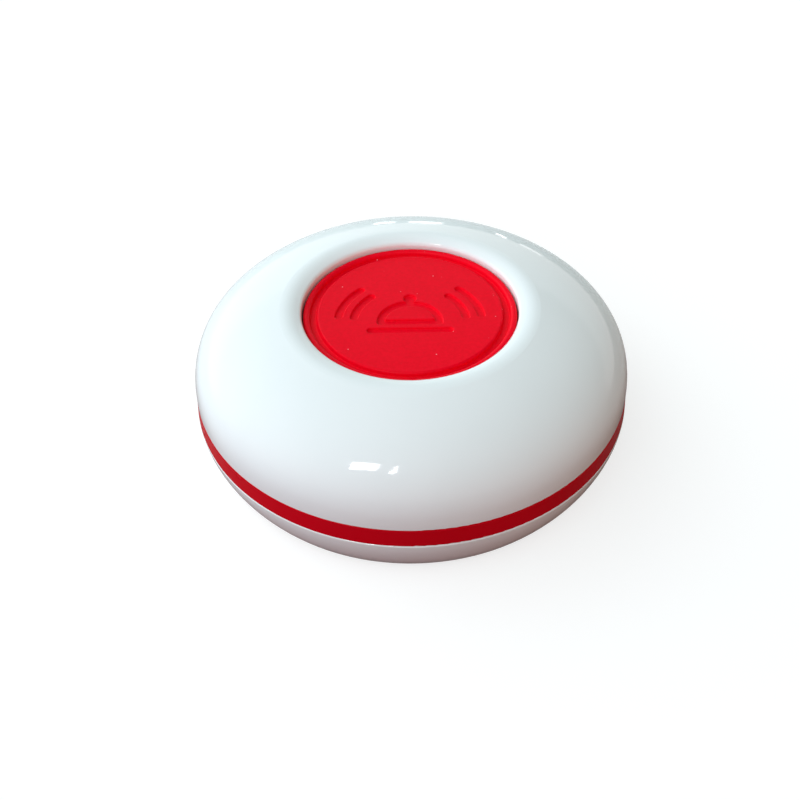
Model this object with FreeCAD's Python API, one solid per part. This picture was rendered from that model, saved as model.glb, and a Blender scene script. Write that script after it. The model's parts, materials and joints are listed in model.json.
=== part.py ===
import FreeCAD
import Part
import math
import os

# A round table-top call button: a white dome and belly with a coloured band between them,
# a sprung round button in the dome, and a battery transmitter inside. Lengths in millimetres.
# The origin is on the table under the middle, +Z is up, and the front faces -Y.

# Outline of the body
body_radius = 30.0
band_flare = 0.2
band_height = 2.7
band_wall = 1.4
belly_height = 6.65
belly_depth = 15.8
belly_radius_power = 3.0
belly_height_power = 1.63
dome_radius_power = 2.03
dome_height_power = 2.79
dome_rise = 13.19
wall = 2.0
seam_round = 0.2
base_round = 0.8

# Fits between pieces
overrun = 1.0
fit_gap = 0.2
thread_gap = 0.02
wire_hole_gap = 0.12

# Foam pad and its release liner
pad_radius = 15.0
pad_thickness = 1.0
liner_overhang = 0.2
liner_thickness = 0.15
pad_recess_gap = 0.5
pad_recess_depth = 0.7

# Floor and the joint between the shells
floor_thickness = 2.2
spigot_wall = 1.2
spigot_depth = 4.0
spigot_root = 2.5

# Battery and its cradle
battery_radius = 5.25
battery_length = 28.5
battery_sleeve_wall = 0.1
battery_edge_round = 0.5
battery_nub_radius = 2.0
battery_nub_height = 0.8
battery_floor_gap = 0.1
battery_board_gap = 0.55
cradle_spread = 16.0
cradle_thickness = 1.2
cradle_side = 1.0
cradle_dip = 1.5

# Battery contacts
contact_thickness = 0.3
contact_width = 7.0
contact_height = 9.4
contact_lift = 0.6
contact_arm_height = 1.5
contact_pin_width = 1.0
contact_pin_inset = 1.1
contact_rib_thickness = 1.2
spring_length = 3.35
spring_wire_radius = 0.3
spring_large_radius = 3.4
spring_small_radius = 1.6
spring_turns = 3

# Circuit board and what holds it
board_shell_gap = 2.7
board_edge_y = 8.7
board_lift = 1.85
board_thickness = 1.6
standoff_radius = 2.2
front_standoff_x = 14.0
front_standoff_y = -10.0
rear_standoff_y = 6.2
prop_radius = 1.6
board_screw_radius = 0.85
board_screw_length = 4.0
board_screw_head_radius = 1.5
board_screw_head_height = 0.9

# Screws that close the shells
front_screw_angle = 270.0
shell_screw_radius = 1.0
shell_screw_length = 10.4
shell_screw_head_radius = 1.75
shell_screw_head_height = 1.3
pillar_wall = 1.05
pillar_height = 5.75
well_depth = 3.55
boss_radius = 2.4
boss_gap = 0.7

# Clamp ring under the dome
clamp_headroom = 0.95
clamp_thickness = 1.2
clamp_width = 1.65
clamp_screw_angles = (90.0, 210.0, 330.0)
clamp_screw_radius = 0.7
clamp_screw_length = 4.5
clamp_screw_head_radius = 1.3
clamp_screw_head_height = 0.8
clamp_screw_offset = 1.3
ear_radius = 1.9

# Screw details
pilot_spare = 0.3
screw_clearance = 0.12
screw_tip_share = 0.6
recess_width_share = 0.3
recess_length_share = 1.2
recess_depth_share = 0.5
head_round_share = 0.5

# Opening in the dome and its collar
hole_radius = 14.6
lip_roll_width = 2.9
lip_roll_radius = 3.8
lip_edge_round = 0.6
collar_wall = 1.4
land_gap = 0.2

# Button cap
cap_gap = 0.15
skirt_height = 2.7
rim_width = 0.95
rim_round_share = 0.48
groove_width = 0.9
groove_depth = 0.7
disc_drop = 0.1
disc_edge_round = 0.35
deck_thickness = 1.5
skirt_wall = 1.3
cap_flange_width = 0.9
cap_flange_height = 0.9
post_radius = 3.0
rib_width = 1.0
rib_height = 1.0
key_width = 1.6
key_reach = 0.9

# Desk bell pictogram, sunk in the cap
stroke_width = 1.05
engraving_depth = 0.35
bell_radius = 3.9
bell_base_half = 5.2
bell_base_y = -4.0
bell_rim_gap = 1.75
bell_knob_radius = 0.85
bell_stem_height = 1.15
wave_radii = (7.6, 9.7)
wave_start_angle = 8.0
wave_end_angle = 46.0

# Sealing diaphragm between cap and switch
diaphragm_flange = 1.0
diaphragm_web = 0.5
diaphragm_round = 0.2
web_drop = 0.45
leg_gap = 0.1
press_pad_radius = 4.0
press_pad_below = 0.65
press_pad_above = 0.95

# Push switch
switch_width = 6.0
switch_height = 3.2
switch_cavity_radius = 2.6
switch_cavity_depth = 1.7
switch_cover_thickness = 0.3
switch_tab_width = 3.0
switch_tab_height = 2.4
stem_radius = 1.75
stem_gap = 0.1
stem_flange_radius = 2.4
stem_flange_height = 0.7
nub_radius = 0.8
snap_dome_radius = 2.3
snap_dome_rise = 0.5
snap_dome_thickness = 0.1
terminal_width = 0.7
terminal_thickness = 0.3
terminal_spread = 4.5
terminal_rise = 1.5
terminal_stub = 1.1
terminal_hole_radius = 0.55

# Parts on the board
encoder_x = -9.5
encoder_y = -3.5
encoder_length = 4.9
encoder_width = 3.9
encoder_height = 1.5
encoder_lift = 0.15
lead_pitch = 1.27
leads_per_side = 4
lead_width = 0.4
lead_thickness = 0.2
lead_reach = 1.05
lead_foot = 0.6
resonator_x = 9.5
resonator_y = -3.5
resonator_flange_radius = 4.6
resonator_flange_height = 0.4
resonator_can_radius = 4.1
resonator_can_height = 3.0
resonator_round = 0.5
resonator_lead_radius = 0.23
resonator_lead_circle = 2.54
resonator_lead_angles = (45.0, 135.0, 270.0)
transistor_x = 8.3
transistor_y = -10.6
transistor_length = 2.9
transistor_width = 1.3
transistor_height = 1.0
transistor_pitch_share = 0.33
light_y = -7.4
light_length = 2.0
light_width = 1.25
light_height = 0.8
light_lens_share = 0.6
chip_length = 1.6
chip_width = 0.8
resistor_height = 0.45
capacitor_height = 0.8
chip_pitch = 2.2
resistor_row_x = -16.5
resistor_row_y = 2.4
resistor_count = 6
capacitor_row_x = 6.0
capacitor_row_y = 4.2
capacitor_count = 5

# Aerial coil on the board
coil_radius = 2.2
coil_wire_radius = 0.3
coil_pitch = 1.4
coil_turns = 7
coil_y = -13.9
coil_lift = 0.3

# Heights, from the table up
base_z = liner_thickness + pad_thickness - pad_recess_depth
recess_z = base_z + pad_recess_depth
floor_z = base_z + floor_thickness
belly_top_z = base_z + belly_height
dome_base_z = belly_top_z + band_height
board_z = floor_z + board_lift
board_top_z = board_z + board_thickness
battery_z = floor_z + battery_floor_gap + battery_radius
clamp_z = battery_z + battery_radius + clamp_headroom
clamp_top_z = clamp_z + clamp_thickness
land_z = clamp_top_z + diaphragm_flange
collar_z = land_z + leg_gap + cap_flange_height
rim_z = collar_z + skirt_height
disc_z = rim_z - disc_drop
dome_top_z = dome_base_z + dome_rise
web_z = clamp_z - web_drop
press_pad_z = web_z - press_pad_below
press_pad_top_z = web_z + diaphragm_web + press_pad_above
pillar_top_z = floor_z + pillar_height
well_z = base_z + well_depth

# Radii and places that follow from the sizes above
band_radius = body_radius + band_flare
spigot_radius = body_radius - band_wall - fit_gap
spigot_bore_radius = spigot_radius - spigot_wall
board_radius = spigot_bore_radius - board_shell_gap
cap_radius = hole_radius - cap_gap
cap_flange_radius = hole_radius + cap_flange_width
land_bore_radius = hole_radius + collar_wall
leg_radius = land_bore_radius - leg_gap
clamp_bore_radius = leg_radius + diaphragm_web + fit_gap
clamp_radius = clamp_bore_radius + clamp_width
land_radius = clamp_radius + land_gap
clamp_screw_circle = clamp_radius + clamp_screw_offset
shell_screw_circle = land_radius + boss_gap + boss_radius
pillar_radius = shell_screw_head_radius + fit_gap + pillar_wall
contact_pin_far_y = board_edge_y - contact_pin_inset
contact_pin_near_y = contact_pin_far_y - contact_pin_width
rear_screw_y = contact_pin_near_y - fit_gap - pillar_radius
rear_screw_angle = math.degrees(math.asin(rear_screw_y / shell_screw_circle))
shell_screw_angles = (rear_screw_angle, math.degrees(math.pi) - rear_screw_angle, front_screw_angle)
battery_y = board_edge_y + battery_board_gap + battery_radius
battery_half = battery_length / 2
stem_length = press_pad_z - board_top_z - switch_height
coil_z = board_top_z + coil_lift + coil_wire_radius + coil_radius

UP = FreeCAD.Vector(0, 0, 1)
ORIGIN = FreeCAD.Vector(0, 0, 0)
FULL_TURN = 360
QUARTERS = 4
STRAIGHT = 1e-9
SPLINE_STEPS = 14
SEARCH_STEPS = 60


def vec(x, y, z):
    return FreeCAD.Vector(x, y, z)


def around(radius, angles):
    """Places on a circle round the vertical axis."""
    turns = [math.radians(angle) for angle in angles]
    return [(radius * math.cos(turn), radius * math.sin(turn)) for turn in turns]


def cylinder(radius, low, high, place=(0, 0)):
    return Part.makeCylinder(radius, high - low, vec(place[0], place[1], low))


def tube(outer, inner, low, high):
    return cylinder(outer, low, high).cut(cylinder(inner, low, high))


def box(low, high):
    size = [high[i] - low[i] for i in range(3)]
    return Part.makeBox(size[0], size[1], size[2], vec(*low))


def block(x, y, low, length, width, height):
    """A box centred on x and y, standing on a height."""
    return box((x - length / 2, y - width / 2, low), (x + length / 2, y + width / 2, low + height))


def turned(edges):
    """Edges in the XZ plane, turned round the vertical axis."""
    return Part.Face(Part.Wire(edges)).revolve(ORIGIN, UP, FULL_TURN)


def outline(corners):
    """A closed outline in the XZ plane. A corner is (r, z) or, where it is rounded, (r, z, radius)."""
    count = len(corners)
    ends = []
    for i in range(count):
        here = vec(corners[i][0], 0, corners[i][1])
        if len(corners[i]) == 2:
            ends.append((here, None, here))
            continue
        before = corners[i - 1]
        after = corners[(i + 1) % count]
        back = (vec(before[0], 0, before[1]) - here).normalize()
        ahead = (vec(after[0], 0, after[1]) - here).normalize()
        half = back.getAngle(ahead) / 2
        reach = corners[i][2] / math.tan(half)
        centre = here + (back + ahead).normalize() * (corners[i][2] / math.sin(half))
        middle = centre + (here - centre).normalize() * corners[i][2]
        ends.append((here + back * reach, middle, here + ahead * reach))
    edges = []
    for i in range(count):
        start, middle, end = ends[i]
        if middle is not None:
            edges.append(Part.Arc(start, middle, end).toShape())
        following = ends[(i + 1) % count][0]
        if end.distanceToPoint(following) > 0:
            edges.append(Part.LineSegment(end, following).toShape())
    return edges


def fused(first, *others):
    shape = first
    for other in others:
        shape = shape.fuse(other)
    return shape.removeSplitter()


def curve_point(curve, angle, inset):
    """Radius and height on a rounded shell curve, moved inward along its normal by an inset."""
    radius, rise, radius_power, height_power = curve
    across = math.cos(angle) ** (2 / radius_power)
    upward = math.sin(angle) ** (2 / height_power)
    normal_r = radius_power / radius * across ** (radius_power - 1)
    normal_z = height_power / rise * upward ** (height_power - 1)
    length = math.hypot(normal_r, normal_z)
    return (radius * across - inset * normal_r / length, rise * upward - inset * normal_z / length)


def curve_angle(curve, inset, axis, target):
    """Where the curve reaches a radius (axis 0) or a height (axis 1)."""
    low = 0
    high = math.pi / 2
    for _ in range(SEARCH_STEPS):
        middle = (low + high) / 2
        value = curve_point(curve, middle, inset)[axis]
        past = value < target if axis == 0 else value > target
        low, high = (low, middle) if past else (middle, high)
    return (low + high) / 2


def curve_edge(curve, inset, start, end, base, upward):
    """The curve between two angles as one smooth edge, rising from or hanging below a height."""
    points = []
    for i in range(SPLINE_STEPS + 1):
        angle = start * (1 - i / SPLINE_STEPS) + end * i / SPLINE_STEPS
        radius, height = curve_point(curve, angle, inset)
        points.append(vec(radius, 0, base + upward * height))
    spline = Part.BSplineCurve()
    spline.interpolate(points)
    return spline.toShape(), points[0], points[-1]


def line(start, end):
    return Part.LineSegment(start, end).toShape()


def chain(*points):
    return [line(points[i], points[i + 1]) for i in range(len(points) - 1)]


def arc_about(centre, start, end):
    """The short arc round a centre between two points."""
    middle = centre + (start + end - centre * 2).normalize() * (start - centre).Length
    return Part.Arc(start, middle, end).toShape()


def corner_arc(start, corner, end):
    """A quarter round between two points whose tangents meet square at a corner."""
    return arc_about(start + end - corner, start, end)


dome_curve = (body_radius, dome_rise, dome_radius_power, dome_height_power)
belly_curve = (band_radius, belly_depth, belly_radius_power, belly_height_power)


def dome_fill(inset):
    """The solid inside the dome's surface, over the whole height of the body."""
    end = curve_angle(dome_curve, inset, 0, hole_radius)
    side, low, high = curve_edge(dome_curve, inset, 0, end, dome_base_z, 1)
    foot = vec(low.x, 0, 0)
    return turned([side] + chain(high, vec(0, 0, high.z), ORIGIN, foot, low))


def belly_fill(inset, bottom_z):
    """The solid inside the lower shell's surface from a height up, within the bore of the dome's spigot."""
    end = curve_angle(belly_curve, inset, 1, belly_top_z - bottom_z)
    side, top, low = curve_edge(belly_curve, inset, 0, end, belly_top_z, -1)
    above = vec(top.x, 0, dome_top_z)
    inside = turned([side] + chain(low, vec(0, 0, low.z), vec(0, 0, dome_top_z), above, top))
    return inside.common(cylinder(spigot_bore_radius - fit_gap, bottom_z, dome_top_z))


def lip_arcs():
    """The roll that turns the dome's curve down to the opening, then the small round at its edge."""
    roll_at = curve_angle(dome_curve, 0, 0, hole_radius + lip_roll_width)
    start_r, start_h = curve_point(dome_curve, roll_at, 0)
    roll_r, roll_h = curve_point(dome_curve, roll_at, lip_roll_radius)
    start = vec(start_r, 0, dome_base_z + start_h)
    roll_centre = vec(roll_r, 0, dome_base_z + roll_h)
    reach = hole_radius + lip_edge_round - roll_r
    rise = math.sqrt((lip_roll_radius - lip_edge_round) ** 2 - reach ** 2)
    edge_centre = roll_centre + vec(reach, 0, rise)
    joint = roll_centre + vec(reach, 0, rise).normalize() * lip_roll_radius
    end = vec(hole_radius, 0, edge_centre.z)
    return roll_at, [arc_about(roll_centre, start, joint), arc_about(edge_centre, joint, end)], end


def upper_shell():
    start = curve_angle(dome_curve, 0, 1, seam_round)
    roll_at, lip, lip_end = lip_arcs()
    outer, low, _ = curve_edge(dome_curve, 0, start, roll_at, dome_base_z, 1)
    inner_start = curve_angle(dome_curve, wall, 0, land_radius)
    inner, roof, foot = curve_edge(dome_curve, wall, inner_start, 0, dome_base_z, 1)
    seam = vec(low.x - seam_round, 0, dome_base_z)
    inside = chain(
        lip_end,
        vec(hole_radius, 0, collar_z),
        vec(land_bore_radius, 0, collar_z),
        vec(land_bore_radius, 0, land_z),
        vec(land_radius, 0, land_z),
        roof,
    )
    seam_corner = vec(low.x, 0, dome_base_z)
    edges = [outer] + lip + inside + [inner, line(foot, seam), corner_arc(seam, seam_corner, low)]
    shell = turned(edges)
    spigot_low = dome_base_z - spigot_depth
    spigot_high = dome_base_z + spigot_root
    spigot = tube(spigot_radius, spigot_bore_radius, spigot_low, spigot_high)
    inside_dome = dome_fill(wall / 2)
    shell = fused(shell, spigot.common(inside_dome))
    for place in around(shell_screw_circle, shell_screw_angles):
        boss = cylinder(boss_radius, pillar_top_z, dome_top_z, place).common(inside_dome)
        shell = shell.fuse(boss)
    for place in around(clamp_screw_circle, clamp_screw_angles):
        boss = cylinder(ear_radius, clamp_top_z, dome_top_z, place).common(inside_dome)
        boss = boss.cut(cylinder(land_radius, clamp_top_z - overrun, land_z))
        shell = shell.fuse(boss)
    for side in (-1, 1):
        inner_x = side * (land_bore_radius - key_reach)
        outer_x = side * (land_bore_radius + collar_wall / 2)
        key_low = (min(inner_x, outer_x), -key_width / 2, land_z)
        key_high = (max(inner_x, outer_x), key_width / 2, collar_z + collar_wall / 2)
        shell = shell.fuse(box(key_low, key_high))
    tip = well_z + shell_screw_length + pilot_spare
    for place in around(shell_screw_circle, shell_screw_angles):
        shell = shell.cut(cylinder(shell_screw_radius + thread_gap, pillar_top_z - overrun, tip, place))
    tip = clamp_z + clamp_screw_length + pilot_spare
    for place in around(clamp_screw_circle, clamp_screw_angles):
        shell = shell.cut(cylinder(clamp_screw_radius + thread_gap, clamp_top_z - overrun, tip, place))
    shell = shell.cut(cylinder(hole_radius, land_z - overrun, dome_top_z))
    return shell.removeSplitter()


def trim_ring():
    inner = body_radius - band_wall
    corners = [
        (inner, belly_top_z),
        (band_radius, belly_top_z, seam_round),
        (body_radius, dome_base_z, seam_round),
        (inner, dome_base_z),
    ]
    return turned(outline(corners))


def lower_shell():
    start = curve_angle(belly_curve, 0, 1, seam_round)
    foot_at = curve_angle(belly_curve, base_round, 1, belly_height - base_round)
    outer, top, low = curve_edge(belly_curve, 0, start, foot_at, belly_top_z, -1)
    foot_r, foot_h = curve_point(belly_curve, foot_at, base_round)
    foot_centre = vec(foot_r, 0, belly_top_z - foot_h)
    foot_end = vec(foot_r, 0, base_z)
    recess_radius = pad_radius + pad_recess_gap
    rebate_radius = body_radius - band_wall
    rebate_z = dome_base_z - spigot_depth - fit_gap
    inner_top = curve_angle(belly_curve, wall, 1, belly_top_z - rebate_z)
    inner_low = curve_angle(belly_curve, wall, 1, belly_top_z - floor_z)
    inner, ledge, floor_edge = curve_edge(belly_curve, wall, inner_top, inner_low, belly_top_z, -1)
    seam = vec(top.x - seam_round, 0, belly_top_z)
    edges = [outer, arc_about(foot_centre, low, foot_end)]
    edges += chain(
        foot_end,
        vec(recess_radius, 0, base_z),
        vec(recess_radius, 0, recess_z),
        vec(0, 0, recess_z),
        vec(0, 0, floor_z),
        floor_edge,
    )
    edges += [inner]
    edges += chain(
        ledge,
        vec(rebate_radius, 0, rebate_z),
        vec(rebate_radius, 0, belly_top_z),
        seam,
    )
    edges += [corner_arc(seam, vec(top.x, 0, belly_top_z), top)]
    shell = turned(edges)
    for place in around(shell_screw_circle, shell_screw_angles):
        pillar = cylinder(pillar_radius, floor_z - floor_thickness / 2, pillar_top_z, place)
        shell = shell.fuse(pillar.common(belly_fill(0, base_z)))
    for place in board_screw_places():
        shell = shell.fuse(cylinder(standoff_radius, floor_z - floor_thickness / 2, board_z, place))
    shell = shell.fuse(cylinder(prop_radius, floor_z - floor_thickness / 2, board_z))
    shell = shell.fuse(battery_supports())
    for place in around(shell_screw_circle, shell_screw_angles):
        well = cylinder(shell_screw_head_radius + fit_gap, base_z - overrun, well_z, place)
        shank_hole = cylinder(shell_screw_radius + screw_clearance, base_z, pillar_top_z + overrun, place)
        shell = shell.cut([well, shank_hole])
    tip = board_top_z - board_screw_length - pilot_spare
    for place in board_screw_places():
        shell = shell.cut(cylinder(board_screw_radius + thread_gap, tip, board_z + overrun, place))
    return shell.removeSplitter()


def battery_supports():
    """Two saddles under the battery and a rib behind each contact."""
    low = floor_z - floor_thickness / 2
    half_width = battery_radius + cradle_side
    ribs = []
    for side in (-1, 1):
        middle = side * cradle_spread / 2
        rib_low = (middle - cradle_thickness / 2, board_edge_y + fit_gap, low)
        rib_high = (middle + cradle_thickness / 2, battery_y + half_width, battery_z - cradle_dip)
        ribs.append(box(rib_low, rib_high))
    half = contact_width / 2 + cradle_side / 2
    top = floor_z + contact_height
    for near in (plus_contact_face() + contact_thickness, minus_contact_face() - contact_rib_thickness):
        rib_high = (near + contact_rib_thickness, battery_y + half, top)
        ribs.append(box((near, battery_y - half, low), rib_high))
    seat = battery_radius + battery_floor_gap
    hollow = Part.makeCylinder(seat, battery_length, vec(-battery_half, battery_y, battery_z), vec(1, 0, 0))
    supports = ribs[0].fuse(ribs[1:]).cut(hollow)
    return supports.common(belly_fill(0, base_z))


def board_screw_places():
    return [(-front_standoff_x, front_standoff_y), (front_standoff_x, front_standoff_y), (0, rear_standoff_y)]


def cross_head_screw(place, face, direction, radius, length, head_radius, head_height):
    """A screw whose head sits on a face. Its shank points up (1) or down (-1)."""
    tip = radius * screw_tip_share
    head_round = head_height * head_round_share
    corners = [
        (0, -head_height),
        (head_radius, -head_height, head_round),
        (head_radius, 0),
        (radius, 0),
        (radius, length - tip),
        (radius - tip, length),
        (0, length),
    ]
    screw = turned(outline(corners))
    slot_width = head_radius * recess_width_share
    slot_length = head_radius * recess_length_share
    slot_depth = head_height * recess_depth_share
    for size in ((slot_length, slot_width), (slot_width, slot_length)):
        screw = screw.cut(block(0, 0, -head_height - overrun, size[0], size[1], slot_depth + overrun))
    if direction < 0:
        screw.rotate(ORIGIN, vec(1, 0, 0), FULL_TURN / 2)
    screw.translate(vec(place[0], place[1], face))
    return screw


def shell_screws():
    size = (shell_screw_radius, shell_screw_length, shell_screw_head_radius, shell_screw_head_height)
    places = around(shell_screw_circle, shell_screw_angles)
    return [cross_head_screw(place, well_z, 1, *size) for place in places]


def clamp_screws():
    size = (clamp_screw_radius, clamp_screw_length, clamp_screw_head_radius, clamp_screw_head_height)
    places = around(clamp_screw_circle, clamp_screw_angles)
    return [cross_head_screw(place, clamp_z, 1, *size) for place in places]


def board_screws():
    size = (board_screw_radius, board_screw_length, board_screw_head_radius, board_screw_head_height)
    return [cross_head_screw(place, board_top_z, -1, *size) for place in board_screw_places()]


def arc_stroke(x, y, radius, start, end):
    """A bent stroke of the pictogram with round ends."""
    low = disc_z - engraving_depth
    high = disc_z + overrun
    ring = Part.makeCylinder(radius + stroke_width / 2, high - low, vec(x, y, low), UP, end - start)
    ring = ring.cut(cylinder(radius - stroke_width / 2, low, high, (x, y)))
    ring.rotate(vec(x, y, 0), UP, start)
    tips = []
    for angle in (start, end):
        turn = math.radians(angle)
        place = (x + radius * math.cos(turn), y + radius * math.sin(turn))
        tips.append(cylinder(stroke_width / 2, low, high, place))
    return ring.fuse(tips)


def pictogram():
    """A desk bell with sound waves on both sides."""
    low = disc_z - engraving_depth
    high = disc_z + overrun
    half = stroke_width / 2
    base = box((-bell_base_half, bell_base_y - half, low), (bell_base_half, bell_base_y + half, high))
    tips = [cylinder(half, low, high, (side * bell_base_half, bell_base_y)) for side in (-1, 1)]
    rim_y = bell_base_y + bell_rim_gap
    top_y = rim_y + bell_radius
    dome = arc_stroke(0, rim_y, bell_radius, 0, FULL_TURN / 2)
    closing = box((-bell_radius, rim_y - half, low), (bell_radius, rim_y + half, high))
    stem = box((-half, top_y, low), (half, top_y + bell_stem_height, high))
    knob = cylinder(bell_knob_radius, low, high, (0, top_y + bell_stem_height))
    marks = [base.fuse(tips), dome.fuse([closing, stem, knob])]
    for radius in wave_radii:
        marks.append(arc_stroke(0, rim_y, radius, wave_start_angle, wave_end_angle))
        mirrored_start = FULL_TURN / 2 - wave_end_angle
        mirrored_end = FULL_TURN / 2 - wave_start_angle
        marks.append(arc_stroke(0, rim_y, radius, mirrored_start, mirrored_end))
    return marks


def button_cap():
    rim_bore = cap_radius - rim_width
    disc_radius = rim_bore - groove_width
    groove_z = disc_z - groove_depth
    flange_z = collar_z - cap_flange_height
    bead = rim_width * rim_round_share
    corners = [
        (0, disc_z),
        (disc_radius, disc_z, disc_edge_round),
        (disc_radius, groove_z, disc_edge_round / 2),
        (rim_bore, groove_z, disc_edge_round / 2),
        (rim_bore, rim_z, bead),
        (cap_radius, rim_z, bead),
        (cap_radius, collar_z),
        (cap_flange_radius, collar_z),
        (cap_flange_radius, flange_z),
        (cap_radius - skirt_wall, flange_z),
        (cap_radius - skirt_wall, disc_z - deck_thickness, disc_edge_round),
        (post_radius, disc_z - deck_thickness, disc_edge_round),
        (post_radius, press_pad_top_z),
        (0, press_pad_top_z),
    ]
    cap = turned(outline(corners))
    reach = cap_radius - skirt_wall / 2
    under = disc_z - deck_thickness
    for length, width in ((reach, rib_width / 2), (rib_width / 2, reach)):
        rib_high = (length, width, under + deck_thickness / 2)
        cap = cap.fuse(box((-length, -width, under - rib_height), rib_high))
    notch = key_width / 2 + fit_gap
    bottom = land_bore_radius - key_reach - fit_gap
    for side in (-1, 1):
        near = side * bottom
        far = side * (cap_flange_radius + overrun)
        cap = cap.cut(box((min(near, far), -notch, flange_z - overrun), (max(near, far), notch, collar_z)))
    for mark in pictogram():
        cap = cap.cut(mark)
    return cap.removeSplitter()


def diaphragm():
    leg_outer = leg_radius + diaphragm_web
    corners = [
        (leg_radius, land_z),
        (clamp_radius, land_z),
        (clamp_radius, clamp_top_z),
        (leg_outer, clamp_top_z),
        (leg_outer, web_z, diaphragm_round),
        (press_pad_radius, web_z, diaphragm_round),
        (press_pad_radius, press_pad_z, diaphragm_round),
        (0, press_pad_z),
        (0, press_pad_top_z),
        (press_pad_radius, press_pad_top_z, diaphragm_round),
        (press_pad_radius, web_z + diaphragm_web, diaphragm_round),
        (leg_radius, web_z + diaphragm_web, diaphragm_round),
    ]
    return turned(outline(corners))


def clamp_ring():
    ring = tube(clamp_radius, clamp_bore_radius, clamp_z, clamp_top_z)
    for place in around(clamp_screw_circle, clamp_screw_angles):
        ring = ring.fuse(cylinder(ear_radius, clamp_z, clamp_top_z, place))
    for place in around(clamp_screw_circle, clamp_screw_angles):
        hole = cylinder(clamp_screw_radius + screw_clearance, clamp_z - overrun, clamp_top_z + overrun, place)
        ring = ring.cut(hole)
    return ring.cut(cylinder(clamp_bore_radius, clamp_z, clamp_top_z)).removeSplitter()


def board_hole(radius, place):
    return cylinder(radius, board_z - overrun, board_top_z + overrun, place)


def circuit_board():
    board = cylinder(board_radius, board_z, board_top_z)
    beyond = (-board_radius, board_edge_y, board_z - overrun)
    board = board.cut(box(beyond, (board_radius, board_radius, board_top_z + overrun)))
    holes = []
    for place in around(shell_screw_circle, shell_screw_angles):
        holes.append(board_hole(pillar_radius + 2 * fit_gap, place))
    for place in board_screw_places():
        holes.append(board_hole(board_screw_radius + fit_gap, place))
    for place in terminal_places():
        holes.append(board_hole(terminal_hole_radius, place))
    for place in resonator_lead_places():
        holes.append(board_hole(resonator_lead_radius + wire_hole_gap, place))
    for place in coil_ends():
        holes.append(board_hole(coil_wire_radius + wire_hole_gap, place))
    for place in contact_pin_places():
        holes.append(board_hole(contact_pin_width / 2 + fit_gap, place))
    drilled = board.cut(holes).removeSplitter()
    return max(drilled.Solids, key=lambda solid: solid.Volume)


def switch_base():
    body = block(0, 0, board_top_z, switch_width, switch_width, switch_height)
    top = board_top_z + switch_height
    return body.cut(cylinder(switch_cavity_radius, top - switch_cavity_depth, top + overrun))


def switch_cover():
    low = board_top_z + switch_height
    high = low + switch_cover_thickness
    half = switch_width / 2
    cover = block(0, 0, low, switch_width, switch_width, switch_cover_thickness)
    for side in (-1, 1):
        tab_y = side * (half + switch_cover_thickness / 2)
        tab_low = high - switch_tab_height
        tab = block(0, tab_y, tab_low, switch_tab_width, switch_cover_thickness, switch_tab_height)
        cover = cover.fuse(tab)
    return cover.cut(cylinder(stem_radius + stem_gap, low - overrun, high + overrun)).removeSplitter()


def switch_plunger():
    top = board_top_z + switch_height
    shoulder = top - stem_flange_height
    nub_z = top - switch_cavity_depth + snap_dome_rise
    stem = cylinder(stem_radius, top, top + stem_length)
    flange = cylinder(stem_flange_radius, shoulder, top)
    nub = cylinder(nub_radius, nub_z, shoulder)
    return fused(stem, flange, nub)


def switch_dome():
    """A shallow sprung cap whose rim stands on the cavity floor."""
    foot = board_top_z + switch_height - switch_cavity_depth
    crown = foot + snap_dome_rise
    edges = []
    ends = []
    for inset in (0, snap_dome_thickness):
        rise = snap_dome_rise - inset
        reach = snap_dome_radius - inset
        radius = (reach ** 2 + rise ** 2) / (2 * rise)
        half = math.asin(reach / radius) / 2
        middle = vec(radius * math.sin(half), 0, crown - inset - radius * (1 - math.cos(half)))
        edges.append(Part.Arc(vec(reach, 0, foot), middle, vec(0, 0, crown - inset)).toShape())
        ends.append((vec(reach, 0, foot), vec(0, 0, crown - inset)))
    edges.append(line(ends[0][0], ends[1][0]))
    edges.append(line(ends[0][1], ends[1][1]))
    return Part.Face(Part.Wire(Part.sortEdges(edges)[0])).revolve(ORIGIN, UP, FULL_TURN)


def terminal_places():
    x = switch_width / 2 + terminal_thickness / 2
    y = terminal_spread / 2
    return [(x, y), (-x, y), (-x, -y), (x, -y)]


def switch_terminals():
    low = board_z - terminal_stub
    height = board_top_z + terminal_rise - low
    return [block(x, y, low, terminal_thickness, terminal_width, height) for x, y in terminal_places()]


def encoder_chip():
    low = board_top_z + encoder_lift
    return block(encoder_x, encoder_y, low, encoder_length, encoder_width, encoder_height)


def encoder_leads():
    """Gull-wing leads: out of the body, down, and out along the board."""
    leads = []
    shoulder = board_top_z + encoder_lift + encoder_height / 2
    for side in (-1, 1):
        root = encoder_width / 2
        knee = root + lead_reach - lead_foot
        toe = root + lead_reach
        corners = [
            (root, shoulder),
            (knee, shoulder),
            (knee, board_top_z + lead_thickness),
            (toe, board_top_z + lead_thickness),
            (toe, board_top_z),
            (knee - lead_thickness, board_top_z),
            (knee - lead_thickness, shoulder - lead_thickness),
            (root, shoulder - lead_thickness),
        ]
        for i in range(leads_per_side):
            x = encoder_x + (i - (leads_per_side - 1) / 2) * lead_pitch
            points = [vec(x - lead_width / 2, encoder_y + side * y, z) for y, z in corners]
            face = Part.Face(Part.makePolygon(points + points[:1]))
            leads.append(face.extrude(vec(lead_width, 0, 0)))
    return leads


def resonator_lead_places():
    turns = around(resonator_lead_circle, resonator_lead_angles)
    return [(resonator_x + x, resonator_y + y) for x, y in turns]


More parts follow.
